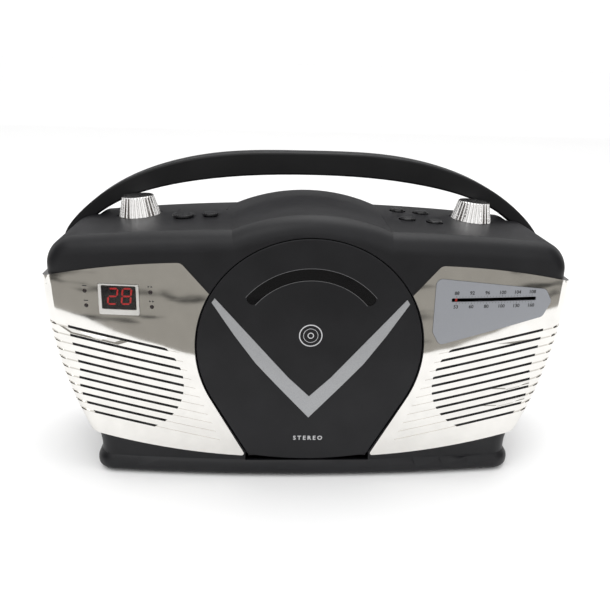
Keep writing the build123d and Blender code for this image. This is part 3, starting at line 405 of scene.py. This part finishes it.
# ---- display ------------------------------------------------------------------------------
DIGIT_W, DIGIT_H, DIGIT_BAR = 5.6, 10.4, 1.1
DIGIT_LEAN = math.tan(math.radians(7))
DIGIT_PLACES = ((-4.4, "2"), (4.4, "8"))     # offsets from the middle of the display
LIT = {"2": "abged", "8": "abcdefg"}
SEGMENTS = {
    "a": (0, DIGIT_H / 2, True), "g": (0, 0, True), "d": (0, -DIGIT_H / 2, True),
    "f": (-DIGIT_W / 2, DIGIT_H / 4, False), "b": (DIGIT_W / 2, DIGIT_H / 4, False),
    "e": (-DIGIT_W / 2, -DIGIT_H / 4, False), "c": (DIGIT_W / 2, -DIGIT_H / 4, False),
}


def segment_points(cx, cz, flat):
    """Six-cornered bar of a seven-segment digit."""
    length = (DIGIT_W if flat else DIGIT_H / 2) / 2 - 0.35
    half = DIGIT_BAR / 2
    outline = [(-length, 0), (-length + half, half), (length - half, half),
               (length, 0), (length - half, -half), (-length + half, -half)]
    if not flat:
        outline = [(z, x) for x, z in outline]
    return [(cx + x + (cz + z) * DIGIT_LEAN, cz + z) for x, z in outline]


module_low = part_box("display_module")[0]
lens_low, lens_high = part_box("display_lens")
display_x = (lens_low[0] + lens_high[0]) / 2 / MM
display_z = (lens_low[2] + lens_high[2]) / 2 / MM
for place, digit in DIGIT_PLACES:
    for key, (cx, cz, flat) in SEGMENTS.items():
        points = [(display_x + place + x, display_z + z) for x, z in segment_points(cx, cz, flat)]
        mesh = ribbon(points)
        for vertex in mesh.vertices:
            vertex.co.y += module_low[1] - 0.05 * MM
        side = "left" if place < 0 else "right"
        look = "lit" if key in LIT[digit] else "unlit"
        add_piece(f"display_{side}_segment_{key}", mesh, look, "case")

# ---- indicator lamps with their small marks -------------------------------------------------
LAMPS = [(-145.9, 131.9), (-145.5, 122.0), (-103.4, 132.6), (-102.8, 122.8)]
LAMP_DOME = [(1.25, 0.0), (1.25, 2.3), (1.15, 2.6), (0.8, 2.85), (0.3, 2.95)]
LAMP_SINK = 2.6          # foot of a lamp behind the trim's face
for number, (x, z) in enumerate(LAMPS, start=1):
    y = front_y(x * MM, TRIM_PROUD) / MM
    foot = (x, y + LAMP_SINK, z)
    lathe(f"lamp_{number}", LAMP_DOME, foot, (0, -1, 0), "lamp", "case")
for number, (x, z) in enumerate(LAMPS[2:], start=1):
    for bar in range(2):
        low = x - 1.6 + 1.9 * bar
        mesh = ribbon([(low, z + 3.0), (low + 1.3, z + 3.7), (low, z + 4.4)])
        wrap_on_front(mesh, TRIM_PROUD)
        add_piece(f"lamp_mark_{number}_{bar + 1}", mesh, "ink", "case")
for number, (x, z) in enumerate(LAMPS[:2], start=1):
    mesh = ribbon([(x - 1.4, z + 3.1), (x + 1.4, z + 3.1), (x + 1.4, z + 3.7), (x - 1.4, z + 3.7)])
    wrap_on_front(mesh, TRIM_PROUD)
    add_piece(f"lamp_bar_{number}", mesh, "ink", "case")

# ---- tuning scale -----------------------------------------------------------------------------
SCALE_START, SCALE_LENGTH, SCALE_Z = 95.0, 52.0, 129.6
NUMBER_HEIGHT, NUMBER_OFFSET = 2.3, 4.7
SCALE_ROWS = {"fm": (["88", "92", "96", "100", "104", "108"], NUMBER_OFFSET),
              "am": (["53", "60", "80", "100", "130", "160"], -NUMBER_OFFSET)}
TICKS, TICK_HALF_WIDTH, TICK_OFFSET = 26, 0.12, 1.8
LONG_TICK, SHORT_TICK = 1.1, 0.6
for row, (numbers, offset) in SCALE_ROWS.items():
    for i, word in enumerate(numbers):
        x = SCALE_START + SCALE_LENGTH * i / (len(numbers) - 1)
        printed_text(f"scale_{row}_{word}", word, x, SCALE_Z + offset, NUMBER_HEIGHT, "ink",
                     DIAL_PROUD, "case")
for i in range(TICKS):
    x = SCALE_START + SCALE_LENGTH * i / (TICKS - 1)
    left, right = x - TICK_HALF_WIDTH, x + TICK_HALF_WIDTH
    tall = LONG_TICK if i % 5 == 0 else SHORT_TICK
    for row, base in (("upper", TICK_OFFSET), ("lower", -TICK_OFFSET - tall)):
        low = SCALE_Z + base
        mesh = ribbon([(left, low), (right, low), (right, low + tall), (left, low + tall)])
        wrap_on_front(mesh, DIAL_PROUD)
        add_piece(f"scale_tick_{row}_{i}", mesh, "ink", "case")

# ---- marks on the door, with painted highlights along the window's edges ------------------------
DISC_SIGN_Z = 105.0
for name, inner, outer in (("rim", 7.0, 7.7), ("track", 4.6, 4.9), ("hole", 1.5, 2.1)):
    mesh = ring(0, DISC_SIGN_Z, inner, outer)
    wrap_on_front(mesh, 0)
    add_piece(f"door_disc_mark_{name}", mesh, "light_ink", "door")
DISC_Z = 95.0
WINDOW_EDGES = {"outer": 55.5, "inner": 47.5}     # radii of the window's long edges
WINDOW_SPAN = 50.0                                # half angle of the painted highlight lines along the window's edges
HIGHLIGHT_HALF_WIDTH = 0.14
# The light grey arcs along the window's edges are painted highlights, standing in for light caught on
# the edges.
for name, radius in WINDOW_EDGES.items():
    mesh = ring(0, DISC_Z, radius - HIGHLIGHT_HALF_WIDTH, radius + HIGHLIGHT_HALF_WIDTH,
                90 - WINDOW_SPAN, 90 + WINDOW_SPAN)
    wrap_on_front(mesh, 0)
    add_piece(f"window_edge_painted_highlight_{name}", mesh, "painted_edge_highlight", "door")
printed_text("door_word", "STEREO", 0, 29.5, 3.0, "light_ink", 0, "door", 1.5)


# ---- marks on the crown ---------------------------------------------------------------------------
CROWN_TOP, CROWN_R = 173.5, 1490.0
MARK_HALF_WIDTH, MARK_LEAN, MARK_THICK = 0.5, 1.2, 0.2
TOP_MARKS = {"function": (-93.5, 9, 21), "band": (-58.0, 15, 27)}     # x, front end, rear end


def crown_z(x):
    """Height of the flat-topped crown at x, in millimetres."""
    return CROWN_TOP - x * x / (2 * CROWN_R)


for name, (x, low, high) in TOP_MARKS.items():
    left, right = x - MARK_HALF_WIDTH, x + MARK_HALF_WIDTH
    strip = bmesh.new()
    corners = []
    for up in (0.0, MARK_THICK):
        for px, py in ((left, low), (right, low), (right + MARK_LEAN, high), (left + MARK_LEAN, high)):
            corners.append(strip.verts.new((px * MM, py * MM, (crown_z(px) + up) * MM)))
    strip.faces.new(corners[3::-1])
    strip.faces.new(corners[4:])
    for i in range(4):
        j = (i + 1) % 4
        strip.faces.new((corners[i], corners[j], corners[4 + j], corners[4 + i]))
    mesh = bpy.data.meshes.new(name)
    strip.to_mesh(mesh)
    strip.free()
    add_piece(f"top_mark_{name}", mesh, "ink", "case")

# ---- studio -------------------------------------------------------------------------------------
def stage_mesh(name, corners, faces, colour, rough, streak_tone=0.0):
    """Stage surface in one colour, or with dark drifting streaks at a share of that colour."""
    mesh = bpy.data.meshes.new(name)
    mesh.from_pydata(corners, [], faces)
    sheet = bpy.data.objects.new(name, mesh)
    bpy.context.collection.objects.link(sheet)
    tree = Tree(name)
    if streak_tone:
        dark = tuple(c * streak_tone for c in colour)
        streaks = tree.noise(5.5, 3, 0.55, (1, 3.2, 1))
        tree.to(tree.ramp(streaks, dark, colour, 0.36, 0.43), "Base Color")
    else:
        tree.to(tree.ramp(tree.noise(3, 2), tuple(c * 0.98 for c in colour), colour), "Base Color")
    tree.set(Roughness=rough, Specular_IOR_Level=0.1)
    mesh.materials.append(tree.material)
    return sheet


def reflected_only(sheet):
    """Hide a studio card from everything but reflections."""
    sheet.visible_camera = False
    sheet.visible_diffuse = False
    sheet.visible_shadow = False


def upright_card(name, low, high, turn, place, colour):
    """Flat card standing on its edge that only shows in bright metal and gloss."""
    corners = [(low[0], 0, low[1]), (high[0], 0, low[1]), (high[0], 0, high[1]), (low[0], 0, high[1])]
    card = stage_mesh(name, corners, [(0, 1, 2, 3)], colour, 0.8)
    card.rotation_euler = (0, 0, math.radians(turn))
    card.location = place
    reflected_only(card)


FLOOR_REACH = 30.0
floor_corners = [(x, y, 0) for x, y in ((-FLOOR_REACH, -FLOOR_REACH), (FLOOR_REACH, -FLOOR_REACH),
                                        (FLOOR_REACH, FLOOR_REACH), (-FLOOR_REACH, FLOOR_REACH))]
stage_mesh("floor", floor_corners, [(0, 1, 2, 3)], (0.88, 0.88, 0.88), 0.7)

# A grey surround on the floor gives the plating its two tones. The front edge of the white patch
# inside it is drawn in at the middle, so the line between the tones slopes with the speaker slots.
WHITE_PATCH = [(-0.60, -0.430), (-0.35, -0.345), (-0.12, -0.262), (0.0, -0.225), (0.155, -0.262),
               (0.40, -0.345), (0.65, -0.430), (0.66, 0.0), (0.62, 0.5), (-0.62, 0.5), (-0.62, 0.0)]
SURROUND_REACH, SURROUND_Z = 3.0, 0.003
SURROUND_GREY = (0.235, 0.225, 0.205)
surround = [(x, y, SURROUND_Z) for x, y in WHITE_PATCH]
for x, y in WHITE_PATCH:
    stretch = SURROUND_REACH / max(abs(x), abs(y))
    surround.append((x * stretch, y * stretch, SURROUND_Z))
count = len(WHITE_PATCH)
quads = [(i, (i + 1) % count, count + (i + 1) % count, count + i) for i in range(count)]
reflected_only(stage_mesh("grey_surround", surround, quads, SURROUND_GREY, 0.8, streak_tone=0.1))
upright_card("back_card", (-2.5, 0.0), (2.5, 1.3), 0, (0, 2.2, 0.01), (0.22, 0.22, 0.225))
for side, name in ((-1, "left_flag"), (1, "right_flag")):
    upright_card(name, (-0.9, 0.0), (0.3, 1.1), 90, (side * 1.1, 0, 0.01), (0.06, 0.052, 0.048))

world = bpy.data.worlds.new("studio")
bpy.context.scene.world = world
bpy.context.scene.view_settings.view_transform = "Standard"
world.use_nodes = True
world.node_tree.nodes["Background"].inputs["Color"].default_value = (1, 1, 1, 1)
world.node_tree.nodes["Background"].inputs["Strength"].default_value = 1.15


def soft_light(name, place, target, size, power):
    """Square area light at `place` aimed at `target`."""
    data = bpy.data.lights.new(name, "AREA")
    data.shape = "SQUARE"
    data.size = size
    data.energy = power
    light = bpy.data.objects.new(name, data)
    light.location = place
    light.rotation_euler = (Vector(target) - Vector(place)).to_track_quat("-Z", "Y").to_euler()
    bpy.context.collection.objects.link(light)


soft_light("key", (-0.5, -0.9, 1.5), (0, 0, 0.1), 1.0, 5)
soft_light("top", (0.2, 0.3, 1.6), (0, 0, 0.1), 1.2, 8)
soft_light("fill", (1.3, -0.8, 0.8), (0, 0, 0.1), 0.8, 1.5)

# ---- camera -------------------------------------------------------------------------------------
CAMERA_PLACE = Vector((-0.0309, -0.5054, 0.2782))
CAMERA_PITCH = math.radians(18.81)
CAMERA_YAW = math.radians(3.41)
CAMERA_ROLL = math.radians(1.62)
FOCAL_OVER_WIDTH = 1.1972     # focal length over the frame's width

forward = Vector((math.sin(CAMERA_YAW) * math.cos(CAMERA_PITCH),
                  math.cos(CAMERA_YAW) * math.cos(CAMERA_PITCH),
                  -math.sin(CAMERA_PITCH)))
level = Vector((math.cos(CAMERA_YAW), -math.sin(CAMERA_YAW), 0))
upward = level.cross(forward)
right = math.cos(CAMERA_ROLL) * level + math.sin(CAMERA_ROLL) * upward
up = -math.sin(CAMERA_ROLL) * level + math.cos(CAMERA_ROLL) * upward
camera_data = bpy.data.cameras.new("camera")
camera_data.sensor_width = 36.0
camera_data.lens = 36.0 * FOCAL_OVER_WIDTH
camera_data.clip_start = 0.02
camera = bpy.data.objects.new("camera", camera_data)
turn = Matrix((right, up, -forward)).transposed().to_4x4()
camera.matrix_world = Matrix.Translation(CAMERA_PLACE) @ turn
bpy.context.collection.objects.link(camera)
bpy.context.scene.camera = camera
